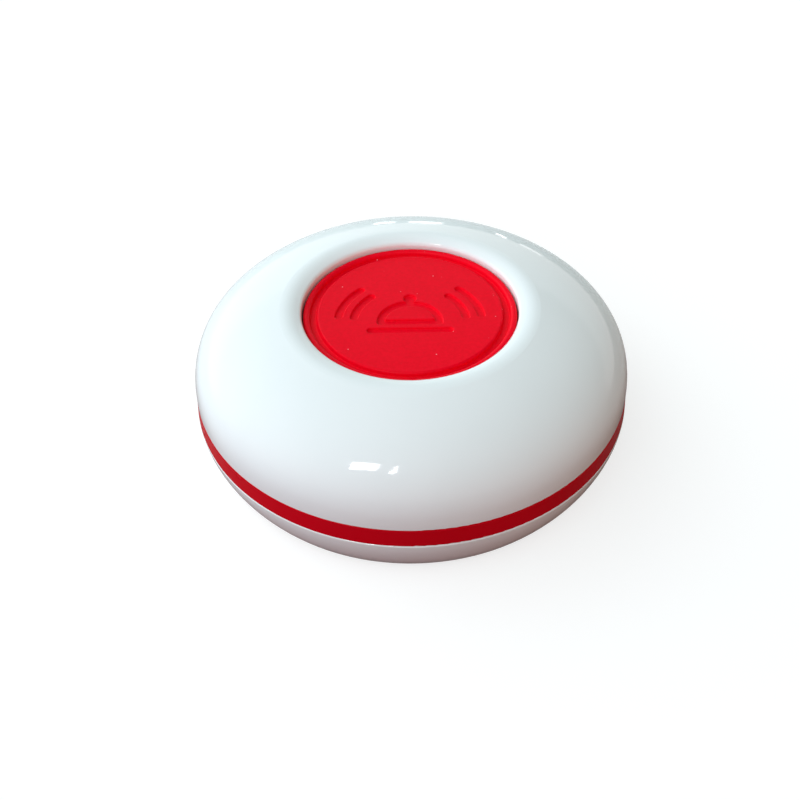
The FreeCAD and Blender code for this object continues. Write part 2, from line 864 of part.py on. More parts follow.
def saw_resonator():
    flange_z = board_top_z + resonator_flange_height
    corners = [
        (0, board_top_z),
        (resonator_flange_radius, board_top_z),
        (resonator_flange_radius, flange_z),
        (resonator_can_radius, flange_z),
        (resonator_can_radius, flange_z + resonator_can_height, resonator_round),
        (0, flange_z + resonator_can_height),
    ]
    can = turned(outline(corners))
    can.translate(vec(resonator_x, resonator_y, 0))
    for place in resonator_lead_places():
        can = can.fuse(cylinder(resonator_lead_radius, board_z - terminal_stub / 2, flange_z, place))
    return can.removeSplitter()


def rf_transistor():
    body_low = board_top_z + lead_thickness
    body = block(transistor_x, transistor_y, body_low, transistor_length, transistor_width, transistor_height)
    pitch = transistor_length * transistor_pitch_share
    for dx, side in ((-pitch, -1), (pitch, -1), (0, 1)):
        x = transistor_x + dx
        y = transistor_y + side * transistor_width / 2
        body = body.fuse(block(x, y, board_top_z, lead_width, transistor_width, lead_thickness))
    return body.removeSplitter()


def status_light():
    body = block(0, light_y, board_top_z, light_length, light_width, light_height / 2)
    lens_length = light_length * light_lens_share
    return fused(body, block(0, light_y, board_top_z, lens_length, light_width, light_height))


def chip_row(x, y, count, height):
    return [block(x + i * chip_pitch, y, board_top_z, chip_width, chip_length, height) for i in range(count)]


def chip_resistors():
    return chip_row(resistor_row_x, resistor_row_y, resistor_count, resistor_height)


def chip_capacitors():
    return chip_row(capacitor_row_x, capacitor_row_y, capacitor_count, capacitor_height)


def biarc(start, start_way, end, end_way):
    """Two tangent arcs from one point and direction to another."""
    span = end - start
    both = start_way + end_way
    bend = 1 - start_way.dot(end_way)
    along = span.dot(both)
    if bend < STRAIGHT:
        return [line(start, end)]
    reach = (-along + math.sqrt(along ** 2 + 2 * bend * span.dot(span))) / (2 * bend)
    first = start + start_way * reach
    second = end - end_way * reach
    joint = (first + second) / 2
    return [arc_to(start, first, joint), arc_to(joint, second, end)]


def arc_to(start, corner, end):
    """The arc between two points whose tangents meet at a corner."""
    chord_middle = (start + end) / 2
    half_chord = (end - start).Length / 2
    rise = corner - chord_middle
    slope = math.atan2(rise.Length, half_chord)
    middle = chord_middle + rise.normalize() * (half_chord * math.tan(slope / 2))
    return Part.Arc(start, middle, end).toShape()


def wire_form(points, ways, radius):
    """A round wire through points with given directions."""
    edges = []
    for i in range(len(points) - 1):
        edges += biarc(points[i], ways[i], points[i + 1], ways[i + 1])
    path = Part.Wire(edges)
    end_ring = Part.Wire(Part.makeCircle(radius, points[0], ways[0]))
    return path.makePipeShell([end_ring], True, False)


def coil_line(start, end, start_radius, end_radius, turns):
    """Points and directions of a coil whose axis lies along X, in quarter turns."""
    steps = turns * QUARTERS
    points = []
    ways = []
    length = end[0] - start[0]
    sweep = 2 * math.pi * turns
    for i in range(steps + 1):
        share = i / steps
        turn = sweep * share
        radius = start_radius + (end_radius - start_radius) * share
        narrowing = (end_radius - start_radius) / sweep
        x = start[0] + length * share
        points.append(vec(x, start[1] + radius * math.cos(turn), start[2] + radius * math.sin(turn)))
        way_y = narrowing * math.cos(turn) - radius * math.sin(turn)
        way_z = narrowing * math.sin(turn) + radius * math.cos(turn)
        ways.append(vec(length / sweep, way_y, way_z).normalize())
    return points, ways


def coil_ends():
    half = coil_pitch * coil_turns / 2
    return [(-half, coil_y + coil_radius), (half, coil_y + coil_radius)]


def antenna_coil():
    (x0, y0), (x1, y1) = coil_ends()
    start = (x0, coil_y, coil_z)
    end = (x1, coil_y, coil_z)
    points, ways = coil_line(start, end, coil_radius, coil_radius, coil_turns)
    foot = board_z
    shoulder = board_top_z + coil_lift
    points = [vec(x0, y0, foot), vec(x0, y0, shoulder)] + points
    ways = [UP, UP] + ways
    return wire_form(points, ways, coil_wire_radius)


def battery_turned(corners):
    """A turned piece laid along X on the battery's axis, from its flat end to its nub."""
    piece = turned(outline(corners))
    piece.rotate(ORIGIN, vec(0, 1, 0), FULL_TURN / QUARTERS)
    piece.translate(vec(-battery_half, battery_y, battery_z))
    return piece


def battery_can():
    radius = battery_radius - battery_sleeve_wall - thread_gap
    shoulder = battery_length - battery_nub_height
    corners = [
        (0, 0),
        (radius, 0, battery_edge_round),
        (radius, shoulder, battery_edge_round),
        (battery_nub_radius, shoulder),
        (battery_nub_radius, battery_length, battery_sleeve_wall),
        (0, battery_length),
    ]
    return battery_turned(corners)


def battery_sleeve():
    bore = battery_radius - battery_sleeve_wall
    shoulder = battery_length - battery_nub_height
    start = battery_edge_round
    end = shoulder - battery_edge_round
    corners = [(bore, start), (battery_radius, start), (battery_radius, end), (bore, end)]
    return battery_turned(corners)


def contact_plate(face):
    """A flat contact across the battery's end, with an arm along the board and a pin through it."""
    low = floor_z + contact_lift
    high = floor_z + contact_height
    near = battery_y - contact_width / 2
    far = battery_y + contact_width / 2
    corners = [
        (near, low),
        (far, low),
        (far, high),
        (near, high),
        (near, board_top_z + contact_arm_height),
        (contact_pin_near_y, board_top_z + contact_arm_height),
        (contact_pin_near_y, board_z - terminal_stub / 2),
        (contact_pin_far_y, board_z - terminal_stub / 2),
        (contact_pin_far_y, board_top_z),
        (near, board_top_z),
    ]
    points = [vec(face, y, z) for y, z in corners]
    plate = Part.Face(Part.makePolygon(points + points[:1]))
    plate = plate.extrude(vec(contact_thickness, 0, 0))
    return plate.common(belly_fill(wall + fit_gap, floor_z))


def plus_contact_face():
    return battery_half


def minus_contact_face():
    return -battery_half - spring_length - contact_thickness


def contact_pin_places():
    y = (contact_pin_near_y + contact_pin_far_y) / 2
    faces = (plus_contact_face(), minus_contact_face())
    return [(face + contact_thickness / 2, y) for face in faces]


def battery_spring():
    start = -battery_half - spring_length + spring_wire_radius
    end = -battery_half - spring_wire_radius
    axis = (battery_y, battery_z)
    large = spring_large_radius
    small = spring_small_radius
    points, ways = coil_line((start, *axis), (end, *axis), large, small, spring_turns)
    return wire_form(points, ways, spring_wire_radius)


def adhesive_pad():
    return cylinder(pad_radius, liner_thickness, liner_thickness + pad_thickness)


def pad_liner():
    return cylinder(pad_radius + liner_overhang, 0, liner_thickness)


def save(name, shapes):
    shape = Part.makeCompound(shapes) if isinstance(shapes, list) else shapes
    solids = shape.Solids
    sound = all(solid.isValid() and solid.isClosed() for solid in solids)
    print(name, "solids", len(solids), "volume", round(shape.Volume, 3), "sound" if sound else "NOT SOUND")
    Part.makeCompound(solids).exportStep("parts/" + name + ".step")


os.makedirs("parts", exist_ok=True)
save("upper_shell", upper_shell())
save("trim_ring", trim_ring())
save("lower_shell", lower_shell())
save("button_cap", button_cap())
save("diaphragm", diaphragm())
save("clamp_ring", clamp_ring())
save("clamp_ring_screws", clamp_screws())
save("circuit_board", circuit_board())
save("board_screws", board_screws())
save("switch_base", switch_base())
save("switch_cover", switch_cover())
save("switch_plunger", switch_plunger())
save("switch_dome", switch_dome())
save("switch_terminals", switch_terminals())
save("encoder_chip", encoder_chip())
save("encoder_leads", encoder_leads())
save("saw_resonator", saw_resonator())
save("rf_transistor", rf_transistor())
save("status_light", status_light())
save("chip_resistors", chip_resistors())
save("chip_capacitors", chip_capacitors())
save("antenna_coil", antenna_coil())
save("battery_can", battery_can())
save("battery_sleeve", battery_sleeve())
save("battery_spring", battery_spring())
save("plus_contact", contact_plate(plus_contact_face()))
save("minus_contact", contact_plate(minus_contact_face()))
save("shell_screws", shell_screws())
save("adhesive_pad", adhesive_pad())
save("pad_liner", pad_liner())
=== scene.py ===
import json
import math

import bmesh
import bpy
import numpy as np
from mathutils import Matrix, Vector, geometry


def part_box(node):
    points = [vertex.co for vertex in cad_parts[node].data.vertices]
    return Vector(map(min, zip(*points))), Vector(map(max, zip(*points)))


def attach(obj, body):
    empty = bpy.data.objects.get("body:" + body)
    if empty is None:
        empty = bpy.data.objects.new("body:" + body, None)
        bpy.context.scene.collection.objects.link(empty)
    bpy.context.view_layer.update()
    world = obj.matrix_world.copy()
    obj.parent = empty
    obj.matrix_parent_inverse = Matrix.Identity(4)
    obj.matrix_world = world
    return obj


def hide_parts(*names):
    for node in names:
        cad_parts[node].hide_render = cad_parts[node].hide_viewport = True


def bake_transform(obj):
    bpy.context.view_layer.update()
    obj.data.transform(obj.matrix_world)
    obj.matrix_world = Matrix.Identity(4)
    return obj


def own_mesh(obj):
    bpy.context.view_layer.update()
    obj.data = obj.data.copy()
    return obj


# A round white call button with a red band and a red push cap.
# Sizes of the object are in millimetres and are turned to metres where a mesh is made.
# Sizes of the stage are in metres where nothing else is said.

MM = 0.001
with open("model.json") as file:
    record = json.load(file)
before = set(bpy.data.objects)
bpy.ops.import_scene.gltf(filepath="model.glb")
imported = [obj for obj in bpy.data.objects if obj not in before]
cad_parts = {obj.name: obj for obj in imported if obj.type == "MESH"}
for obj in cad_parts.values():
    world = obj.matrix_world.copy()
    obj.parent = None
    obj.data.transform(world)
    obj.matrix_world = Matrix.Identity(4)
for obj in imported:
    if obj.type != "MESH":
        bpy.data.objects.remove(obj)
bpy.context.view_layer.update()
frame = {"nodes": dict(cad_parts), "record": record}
nodes = frame["nodes"]


def low_corner(node):
    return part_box(node)[0] / MM


def high_corner(node):
    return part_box(node)[1] / MM


# The cap: rim, groove, disc, skirt and flange
rim_z = high_corner("button_cap").z
cap_foot_z = low_corner("button_cap").z
cap_flange_radius = high_corner("button_cap").y
flange_overhang = 1.05
cap_radius = cap_flange_radius - flange_overhang
skirt_height = 2.7
flange_height = 0.9
skirt_wall = 1.3
rim_width = 0.95
rim_round = 0.45
groove_width = 0.9
groove_depth = 0.7
groove_round = 0.17
disc_drop = 0.1
disc_round = 0.35
deck_thickness = 1.5
post_radius = 3.0
disc_z = rim_z - disc_drop
rim_bore = cap_radius - rim_width
disc_radius = rim_bore - groove_width

# The silicone seal and its centre pad
seal_low_z = low_corner("diaphragm").z
seal_top_z = high_corner("diaphragm").z
seal_radius = high_corner("diaphragm").y
seal_flange_height = 1.0
seal_leg_width = 0.5
seal_leg_gap = 1.45
seal_leg_inner = cap_radius + seal_leg_gap
seal_web = 0.5
seal_round = 0.2
press_pad_radius = 4.0
press_pad_below = 0.65
press_pad_above = 0.95
seal_joint_lap = 0.1
web_low_z = seal_low_z + press_pad_below
web_high_z = web_low_z + seal_web
seal_flange_z = seal_top_z - seal_flange_height

# The foam pad
foam_round = 0.35

# The desk bell pictogram, sunk in the cap
stroke_half = 0.525
engraving_depth = 0.35
engraving_top_round = 0.15
engraving_foot_round = 0.11
engraving_steepness = 0.94
engraving_wall_reach = 0.1
bell_radius = 3.9
bell_base_half = 5.2
bell_base_y = -4.0
bell_rim_y = -2.25
bell_stem_height = 1.15
bell_knob_radius = 0.85
wave_radii = (7.6, 9.7)
wave_start = math.radians(8)
wave_end = math.radians(46)

# Fineness of the modelled meshes
ring_segments = 320
arc_steps = 7
contour_cell = 0.09
axis_radius = contour_cell / 10
sharp_corner = math.cos(math.radians(38))
weld_distance = 1e-7

# The unevenness of surfaces: where most of a noise's values lie, and the size of patches of gloss
noise_low = 0.3
noise_high = 0.7
coarse_detail = 3
fine_detail = 4
gloss_patch = 3

# Specks: the share of the surface's cells without one, and the part of a speck that has its full colour
clean_share = 0.82
clean_edge = 0.01
speck_core = 0.6

# Metal: its darker patches, its grain, and how far its roughness goes to each side
metal_darker = 0.82
metal_grain = 0.5
metal_grain_depth = 0.004
metal_gloss_spread = 0.3

# Plastic, rubber, ceramic and paper: colour, the shade that it drifts to, least and most roughness,
# and the size and depth of the grain
moulded_slots = {
    "shell_white": ((0.86, 0.90, 0.91), (0.845, 0.888, 0.898), (0.05, 0.10), 2.6, 0.002),
    "band_red": ((0.60, 0.001, 0.010), (0.565, 0.0009, 0.009), (0.20, 0.28), 2.0, 0.003),
    "button_red": ((0.96, 0.001, 0.018), (0.88, 0.0008, 0.014), (0.32, 0.42), 0.22, 0.010),
    "silicone": ((0.78, 0.78, 0.76), (0.72, 0.72, 0.70), (0.5, 0.62), 0.3, 0.01),
    "clamp_plastic": ((0.74, 0.75, 0.75), (0.70, 0.71, 0.71), (0.35, 0.45), 0.3, 0.008),
    "board_green": ((0.02, 0.20, 0.07), (0.015, 0.16, 0.055), (0.3, 0.42), 0.5, 0.01),
    "switch_black": ((0.02, 0.02, 0.02), (0.03, 0.03, 0.03), (0.35, 0.5), 0.2, 0.006),
    "chip_black": ((0.018, 0.018, 0.02), (0.03, 0.03, 0.03), (0.5, 0.65), 0.12, 0.008),
    "light_clear": ((0.80, 0.30, 0.26), (0.74, 0.26, 0.22), (0.08, 0.14), 0.8, 0.002),
    "resistor_black": ((0.03, 0.03, 0.035), (0.05, 0.05, 0.05), (0.3, 0.4), 0.1, 0.005),
    "capacitor_tan": ((0.36, 0.24, 0.14), (0.32, 0.21, 0.12), (0.4, 0.5), 0.1, 0.006),
    "battery_wrap": ((0.03, 0.035, 0.05), (0.05, 0.055, 0.07), (0.18, 0.28), 1.2, 0.01),
    "pad_foam": ((0.80, 0.80, 0.77), (0.66, 0.66, 0.63), (0.8, 0.95), 0.25, 0.05),
    "liner_paper": ((0.80, 0.74, 0.55), (0.76, 0.69, 0.50), (0.45, 0.6), 0.35, 0.01),
}

# What sets the outer pieces apart. Dust is the distance between specks and their radius.
outer_finish = {
    "shell_white": {"dust": (2.4, 0.06), "dust_colour": (0.62, 0.60, 0.58)},
    "band_red": {"gloss": 0.03},
    "button_red": {"gloss": 0.045, "dust": (1.15, 0.10), "dust_colour": (0.98, 0.45, 0.48), "drift": 0.45},
}

# Metal: colour and roughness
metal_slots = {
    "screw_steel": ((0.66, 0.66, 0.68), 0.28),
    "switch_steel": ((0.72, 0.72, 0.71), 0.22),
    "lead_tin": ((0.76, 0.76, 0.77), 0.25),
    "coil_copper": ((0.72, 0.30, 0.12), 0.24),
    "battery_steel": ((0.70, 0.70, 0.71), 0.20),
    "contact_nickel": ((0.70, 0.67, 0.62), 0.22),
}

# The camera, which sees the object as in the photograph. Its distance is in millimetres.
image_size = 800
focal_pixels = 1100
camera_distance = 155.4
camera_elevation = math.radians(41.46)
camera_pitch = math.radians(1.67)
camera_yaw = math.radians(-0.58)
camera_roll = math.radians(0.72)
sensor_width = 36
near_clip = 0.005

# The studio's broad lights: the direction that each comes from, how narrow it is, and its colour
studio_lights = (
    ((-0.31, -0.50, 0.81), 8.0, (0.95, 1.30, 1.33)),
    ((0.1, -0.7, 1.3), 6.0, (0.00, 0.28, 0.24)),
    ((-0.8, -0.8, 0.3), 1.0, (0.88, 0.72, 0.82)),
    ((-0.9, 0.5, 0.3), 4.0, (2.55, 2.88, 2.90)),
    ((0.6, -0.8, 0.1), 4.0, (0.52, 0.20, 0.12)),
    ((0.95, -0.3, 0.1), 8.0, (0.60, 0.38, 0.20)),
    ((0.0, 1.0, 0.5), 3.0, (0.24, 0.30, 0.30)),
)

# The windows that show as highlights on the dome's front: brightness, and the direction of each corner
window_centre = (0, 0, 0.012)
window_distance = 1.0
windows = (
    ("window", 30.0, (
        (-0.367, -0.443, 0.818), (-0.200, -0.468, 0.861), (-0.235, -0.564, 0.791), (-0.413, -0.557, 0.721),
    )),
    ("small_window", 26.0, (
        (-0.149, -0.608, 0.780), (-0.125, -0.579, 0.806), (-0.095, -0.499, 0.861), (-0.083, -0.499, 0.862),
        (-0.107, -0.590, 0.800), (-0.109, -0.636, 0.764), (-0.146, -0.639, 0.755),
    )),
)

# A tall pale wall behind the object: brightness, distance, half width and height in metres
back_wall = 1.4
back_wall_distance = 1.0
back_wall_half = 2.5
back_wall_height = 0.5

# The low bright strips that show on its far edge: brightness, and corners sideways and up in millimetres
strip_distance = 0.14
strips = (
    ("strip_left", 4.0, (
        (-13.7, 7.1), (-9.4, 7.0), (-5.5, 9.0), (-5.6, 14.5), (-9.6, 13.6), (-14.1, 14.5),
    )),
    ("strip_middle", 4.0, (
        (0.0, 11.1), (6.8, 11.2), (13.1, 9.5), (13.4, 16.1), (6.9, 17.5), (0.0, 16.2),
    )),
    ("strip_right", 5.0, (
        (35.9, 6.3), (41.4, 12.0), (41.6, 16.7), (36.0, 10.7),
    )),
    ("strip_far_right", 2.2, (
        (48.5, 12.8), (55.1, 12.4), (62.1, 13.8), (62.6, 20.8), (55.3, 20.1), (49.0, 19.2),
    )),
)

# The floor: its white, its glow to the eye and in reflections, and what it bounces back to the object.
# It shows less in reflections inside the near distance than beyond the far one: a painted shadow round the
# object's foot, seen only in gloss.
floor_radius = 1.6
floor_segments = 96
floor_white = (0.88, 0.88, 0.88)
floor_glow = 1.2
floor_glow_seen = 0.6
floor_glow_mirrored = 0.1
floor_mirrored_painted_shadow = 0.3
floor_mirrored_far = 0.95
floor_near = 0.034
floor_far = 0.056
floor_bounce = (0.14, 0.02, 0.01)


def link(name, mesh, material=None):
    piece = bpy.data.objects.new(name, mesh)
    bpy.context.scene.collection.objects.link(piece)
    if material is not None:
        mesh.materials.append(material)
    return piece


def rounded(corners):
    """Points along an outline of (radius, height[, round]) corners."""
    count = len(corners)
    points = []
    for i, corner in enumerate(corners):
        here = np.array(corner[:2], float)
        if len(corner) == 2:
            points.append(here)
            continue
        back = np.array(corners[i - 1][:2], float) - here
        ahead = np.array(corners[(i + 1) % count][:2], float) - here
        back /= np.linalg.norm(back)
        ahead /= np.linalg.norm(ahead)
        half = math.acos(float(np.clip(back @ ahead, -1, 1))) / 2
        reach = corner[2] / math.tan(half)
        bisector = (back + ahead) / np.linalg.norm(back + ahead)
        centre = here + bisector * corner[2] / math.sin(half)
        first = here + back * reach - centre
        last = here + ahead * reach - centre
        turn = math.atan2(first[0] * last[1] - first[1] * last[0], first @ last)
        for step in range(arc_steps + 1):
            angle = turn * step / arc_steps
            cos, sin = math.cos(angle), math.sin(angle)
            turned = (cos * first[0] - sin * first[1], sin * first[0] + cos * first[1])
            points.append(centre + np.array(turned))
    return points


def smooth_normals(mesh, wanted):
    """Gives each face's corner its point's normal, or the face's own where the two part sharply."""
    count = len(mesh.polygons)
    flat = np.zeros(count * 3)
    mesh.polygons.foreach_get("normal", flat)
    flat = flat.reshape(-1, 3)
    starts = np.zeros(count, int)
    sizes = np.zeros(count, int)
    mesh.polygons.foreach_get("loop_start", starts)
    mesh.polygons.foreach_get("loop_total", sizes)
    points = np.zeros(len(mesh.loops), int)
    mesh.loops.foreach_get("vertex_index", points)
    of_face = np.repeat(flat, sizes, axis=0)
    corner = wanted[points]
    turned = np.einsum("ij,ij->i", corner, of_face) < sharp_corner
    corner[turned] = of_face[turned]
    mesh.polygons.foreach_set("use_smooth", np.ones(count, bool))
    mesh.normals_split_custom_set(corner.tolist())


def ring_points(radius, height):
    turns = 2 * math.pi * np.arange(ring_segments) / ring_segments
    return np.column_stack([radius * np.cos(turns), radius * np.sin(turns), np.full(ring_segments, height)])


def outline_normals(points, closed):
    """Outward normals of a counter-clockwise outline in radius and height."""
    line = np.array(points)
    after = np.roll(line, -1, axis=0) - line
    before = line - np.roll(line, 1, axis=0)
    if not closed:
        after[-1] = before[-1]
        before[0] = after[0]
    after /= np.linalg.norm(after, axis=1)[:, None]
    before /= np.linalg.norm(before, axis=1)[:, None]
    along = after + before
    along /= np.linalg.norm(along, axis=1)[:, None]
    return np.column_stack([along[:, 1], -along[:, 0]])


def turned_rings(points, closed):
    """Vertices, faces and normals of an outline turned round the vertical axis."""
    normals = outline_normals(points, closed)
    vertices = []
    directions = []
    rings = []
    for (radius, height), (across, up) in zip(points, normals):
        start = len(vertices)
        if radius < axis_radius:
            vertices.append((0, 0, height))
            directions.append((0, 0, 1 if up > 0 else -1))
            rings.append([start] * ring_segments)
            continue
        ring = ring_points(radius, height)
        vertices += ring.tolist()
        cos, sin = ring[:, 0] / radius, ring[:, 1] / radius
        outward = np.column_stack([cos * across, sin * across, np.full(ring_segments, up)])
        directions += outward.tolist()
        rings.append(list(range(start, start + ring_segments)))
    faces = []
    last = len(rings) if closed else len(rings) - 1
    for i in range(last):
        low, high = rings[i], rings[(i + 1) % len(rings)]
        if low[0] == low[1] and high[0] == high[1]:
            continue
        for j in range(ring_segments):
            k = (j + 1) % ring_segments
            corners = [low[j], low[k], high[k], high[j]]
            faces.append(list(dict.fromkeys(corners)))
    return vertices, faces, directions, rings


def mesh_from(name, vertices, faces, directions):
    mesh = bpy.data.meshes.new(name)
    mesh.from_pydata((np.array(vertices) * MM).tolist(), [], faces)
    mesh.validate()
    smooth_normals(mesh, np.array(directions))
    return mesh


def segment_distance(x, y, start, end):
    """Distance from points to a straight line's middle."""
    ax, ay = start
    dx, dy = end[0] - ax, end[1] - ay
    share = np.clip(((x - ax) * dx + (y - ay) * dy) / (dx * dx + dy * dy), 0, 1)
    return np.hypot(x - ax - share * dx, y - ay - share * dy)


def arc_distance(x, y, centre, radius, start, end):
    """Distance from points to an arc's middle line."""
    middle = (start + end) / 2
    away_x, away_y = x - centre[0], y - centre[1]
    offset = np.arctan2(away_y, away_x) - middle
    offset = (offset + math.pi) % (2 * math.pi) - math.pi
    inside = np.abs(offset) <= (end - start) / 2
    along = np.abs(np.hypot(away_x, away_y) - radius)
    tips = [
        np.hypot(away_x - radius * math.cos(turn), away_y - radius * math.sin(turn))
        for turn in (start, end)
    ]
    return np.where(inside, along, np.minimum(*tips))


def mark_distance(x, y):
    """How far points lie outside the pictogram's strokes. Inside a stroke it is negative."""
    top_y = bell_rim_y + bell_radius
    centre = (0, bell_rim_y)
    marks = [
        segment_distance(x, y, (-bell_base_half, bell_base_y), (bell_base_half, bell_base_y)) - stroke_half,
        segment_distance(x, y, (-bell_radius, bell_rim_y), (bell_radius, bell_rim_y)) - stroke_half,
        segment_distance(x, y, (0, top_y), (0, top_y + bell_stem_height)) - stroke_half,
        np.hypot(x, y - top_y - bell_stem_height) - bell_knob_radius,
        arc_distance(x, y, centre, bell_radius, 0, math.pi) - stroke_half,
    ]
    for radius in wave_radii:
        for start, end in ((wave_start, wave_end), (math.pi - wave_end, math.pi - wave_start)):
            marks.append(arc_distance(x, y, centre, radius, start, end) - stroke_half)
    return np.minimum.reduce(marks)


def engraving_profile():
    """(distance from the stroke's edge, depth, slope) from the flat top down to the floor."""
    top, foot = engraving_top_round, engraving_foot_round
    steepest = math.pi / 2 * engraving_steepness
    levels = []
    for step in range(arc_steps):
        angle = steepest * step / (arc_steps - 1)
        levels.append((top - top * math.sin(angle), top - top * math.cos(angle), math.tan(angle)))
    start = levels[-1][0] - foot * engraving_wall_reach
    for step in range(arc_steps):
        angle = steepest * (1 - step / (arc_steps - 1))
        across = start - foot * (math.sin(steepest) - math.sin(angle))
        levels.append((across, engraving_depth - foot * (1 - math.cos(angle)), math.tan(angle)))
    return levels


def contours(field, xs, ys, level):
    """Closed lines where a field on a grid crosses a level.

    A cell's four corners give one of 16 cases. Each case joins sides of the cell in pairs.
    """
    above = field > level
    cells = np.zeros((len(ys) - 1, len(xs) - 1), int)
    for bit, (dy, dx) in enumerate(((0, 0), (0, 1), (1, 1), (1, 0))):
        cells += above[dy:dy + len(ys) - 1, dx:dx + len(xs) - 1].astype(int) << bit
    sides = {
        1: [(3, 0)], 2: [(0, 1)], 3: [(3, 1)], 4: [(1, 2)], 5: [(3, 2), (1, 0)],
        6: [(0, 2)], 7: [(3, 2)], 8: [(2, 3)], 9: [(2, 0)], 10: [(0, 3), (2, 1)],
        11: [(2, 1)], 12: [(1, 3)], 13: [(1, 0)], 14: [(0, 3)],
    }
    following = {}
    for row, column in zip(*np.nonzero((cells > 0) & (cells < 15))):
        edges = ((row, column, 0), (row, column + 1, 1), (row + 1, column, 0), (row, column, 1))
        for first, second in sides[int(cells[row, column])]:
            following[edges[first]] = edges[second]
    lines = []
    while following:
        start, here = following.popitem()
        line = [start]
        while here != start:
            line.append(here)
            here = following.pop(here)
        lines.append([crossing(field, xs, ys, level, edge) for edge in line])
    return lines


def crossing(field, xs, ys, level, edge):
    """Where the level crosses one side of a grid cell."""
    row, column, upright = edge
    here = field[row, column]
    there = field[row + upright, column + 1 - upright]
    share = (level - here) / (there - here)
    x = xs[column] + (0 if upright else share * (xs[1] - xs[0]))
    y = ys[row] + (share * (ys[1] - ys[0]) if upright else 0)
    return (x, y)


def engraved_top(rim_ring):
    """The disc's flat top with the pictogram sunk in it, inside a given ring of points."""
    reach_x = wave_radii[-1] + 2 * stroke_half
    xs = np.arange(-reach_x, reach_x, contour_cell)
    ys = np.arange(bell_base_y - 2 * stroke_half, bell_rim_y + wave_radii[-1], contour_cell)
    field = mark_distance(*np.meshgrid(xs, ys))
    points = [tuple(p[:2]) for p in rim_ring]
    edges = [(i, (i + 1) % len(points)) for i in range(len(points))]
    depths = [0.0] * len(points)
    slopes = [0.0] * len(points)
    for distance, depth, slope in engraving_profile():
        for line in contours(field, xs, ys, distance):
            start = len(points)
            points += line
            edges += [(start + i, start + (i + 1) % len(line)) for i in range(len(line))]
            depths += [depth] * len(line)
            slopes += [slope] * len(line)
    flat = [Vector(p) for p in points]
    placed, _, faces, origins, _, _ = geometry.delaunay_2d_cdt(flat, edges, [], 0, weld_distance)
    source = [origin[0] if origin else -1 for origin in origins]
    x = np.array([p[0] for p in placed])
    y = np.array([p[1] for p in placed])
    depth = np.array([depths[i] for i in source])
    slope = np.array([slopes[i] for i in source])
    nudge = contour_cell / 50
    lean_x = (mark_distance(x + nudge, y) - mark_distance(x - nudge, y)) / (2 * nudge)
    lean_y = (mark_distance(x, y + nudge) - mark_distance(x, y - nudge)) / (2 * nudge)
    normal = np.column_stack([-lean_x * slope, -lean_y * slope, np.ones(len(x))])
    normal /= np.linalg.norm(normal, axis=1)[:, None]
    vertices = np.column_stack([x, y, disc_z - depth]).tolist()
    upward = []
    for face in faces:
        a, b, c = (np.array(vertices[i][:2]) for i in face)
        turn = (b - a)[0] * (c - a)[1] - (b - a)[1] * (c - a)[0]
        upward.append(list(face) if turn > 0 else list(face)[::-1])
    return vertices, upward, normal.tolist(), source


def button_cap_mesh():
    """The cap: rim, groove, engraved disc, skirt, flange and the post underneath."""
    groove_z = disc_z - groove_depth
    collar_z = rim_z - skirt_height
    flange_z = collar_z - flange_height
    deck_z = disc_z - deck_thickness
    corners = [
        (0, cap_foot_z),
        (post_radius, cap_foot_z),
        (post_radius, deck_z, disc_round),
        (cap_radius - skirt_wall, deck_z, disc_round),
        (cap_radius - skirt_wall, flange_z),
        (cap_flange_radius, flange_z),
        (cap_flange_radius, collar_z),
        (cap_radius, collar_z),
        (cap_radius, rim_z, rim_round),
        (rim_bore, rim_z, rim_round),
        (rim_bore, groove_z, groove_round),
        (disc_radius, groove_z, groove_round),
        (disc_radius, disc_z, disc_round),
        (0, disc_z),
    ]
    points = rounded(corners)[:-1]
    vertices, faces, directions, rings = turned_rings(points, False)
    edge_ring = rings[-1]
    inner = [vertices[i] for i in edge_ring]
    for i in edge_ring:
        directions[i] = (0, 0, 1)
    top_vertices, top_faces, top_directions, source = engraved_top(inner)
    places = []
    for vertex, direction, origin in zip(top_vertices, top_directions, source):
        if 0 <= origin < ring_segments:
            places.append(edge_ring[origin])
            continue
        places.append(len(vertices))
        vertices.append(vertex)
        directions.append(direction)
    faces += [[places[i] for i in face] for face in top_faces]
    return mesh_from("call_button", vertices, faces, directions)


def turned_mesh(name, corners, closed):
    """A mesh turned from an outline of corners. An open outline starts and ends on the axis."""
    vertices, faces, directions, _ = turned_rings(rounded(corners), closed)
    return mesh_from(name, vertices, faces, directions)


def seal_mesh():
    """The seal's flange, its leg and the web that reaches into the centre pad."""
    inner = press_pad_radius - seal_joint_lap
    corners = [
        (inner, web_low_z),
        (seal_leg_inner + seal_leg_width, web_low_z, seal_round),
        (seal_leg_inner + seal_leg_width, seal_flange_z),
        (seal_radius, seal_flange_z),
        (seal_radius, seal_top_z),
        (seal_leg_inner, seal_top_z),
        (seal_leg_inner, web_high_z, seal_round),
        (inner, web_high_z),
    ]
    return turned_mesh("seal", corners, True)


def press_pad_mesh():
    top_z = web_high_z + press_pad_above
    corners = [
        (0, seal_low_z),
        (press_pad_radius, seal_low_z, seal_round),
        (press_pad_radius, top_z, seal_round),
        (0, top_z),
    ]
    return turned_mesh("press_pad", corners, False)


def foam_pad_mesh():
    """The foam disc. Its cut edge is rounded at the top and the bottom."""
    low, high = low_corner("adhesive_pad"), high_corner("adhesive_pad")
    corners = [
        (0, low.z),
        (high.y, low.z, foam_round),
        (high.y, high.z, foam_round),
        (0, high.z),
    ]
    return turned_mesh("foam_pad", corners, False)


def new_material(name):
    material = bpy.data.materials.new(name)
    material.use_nodes = True
    tree = material.node_tree
    shader = tree.nodes["Principled BSDF"]
    place = tree.nodes.new("ShaderNodeTexCoord").outputs["Object"]
    return material, tree, shader, place


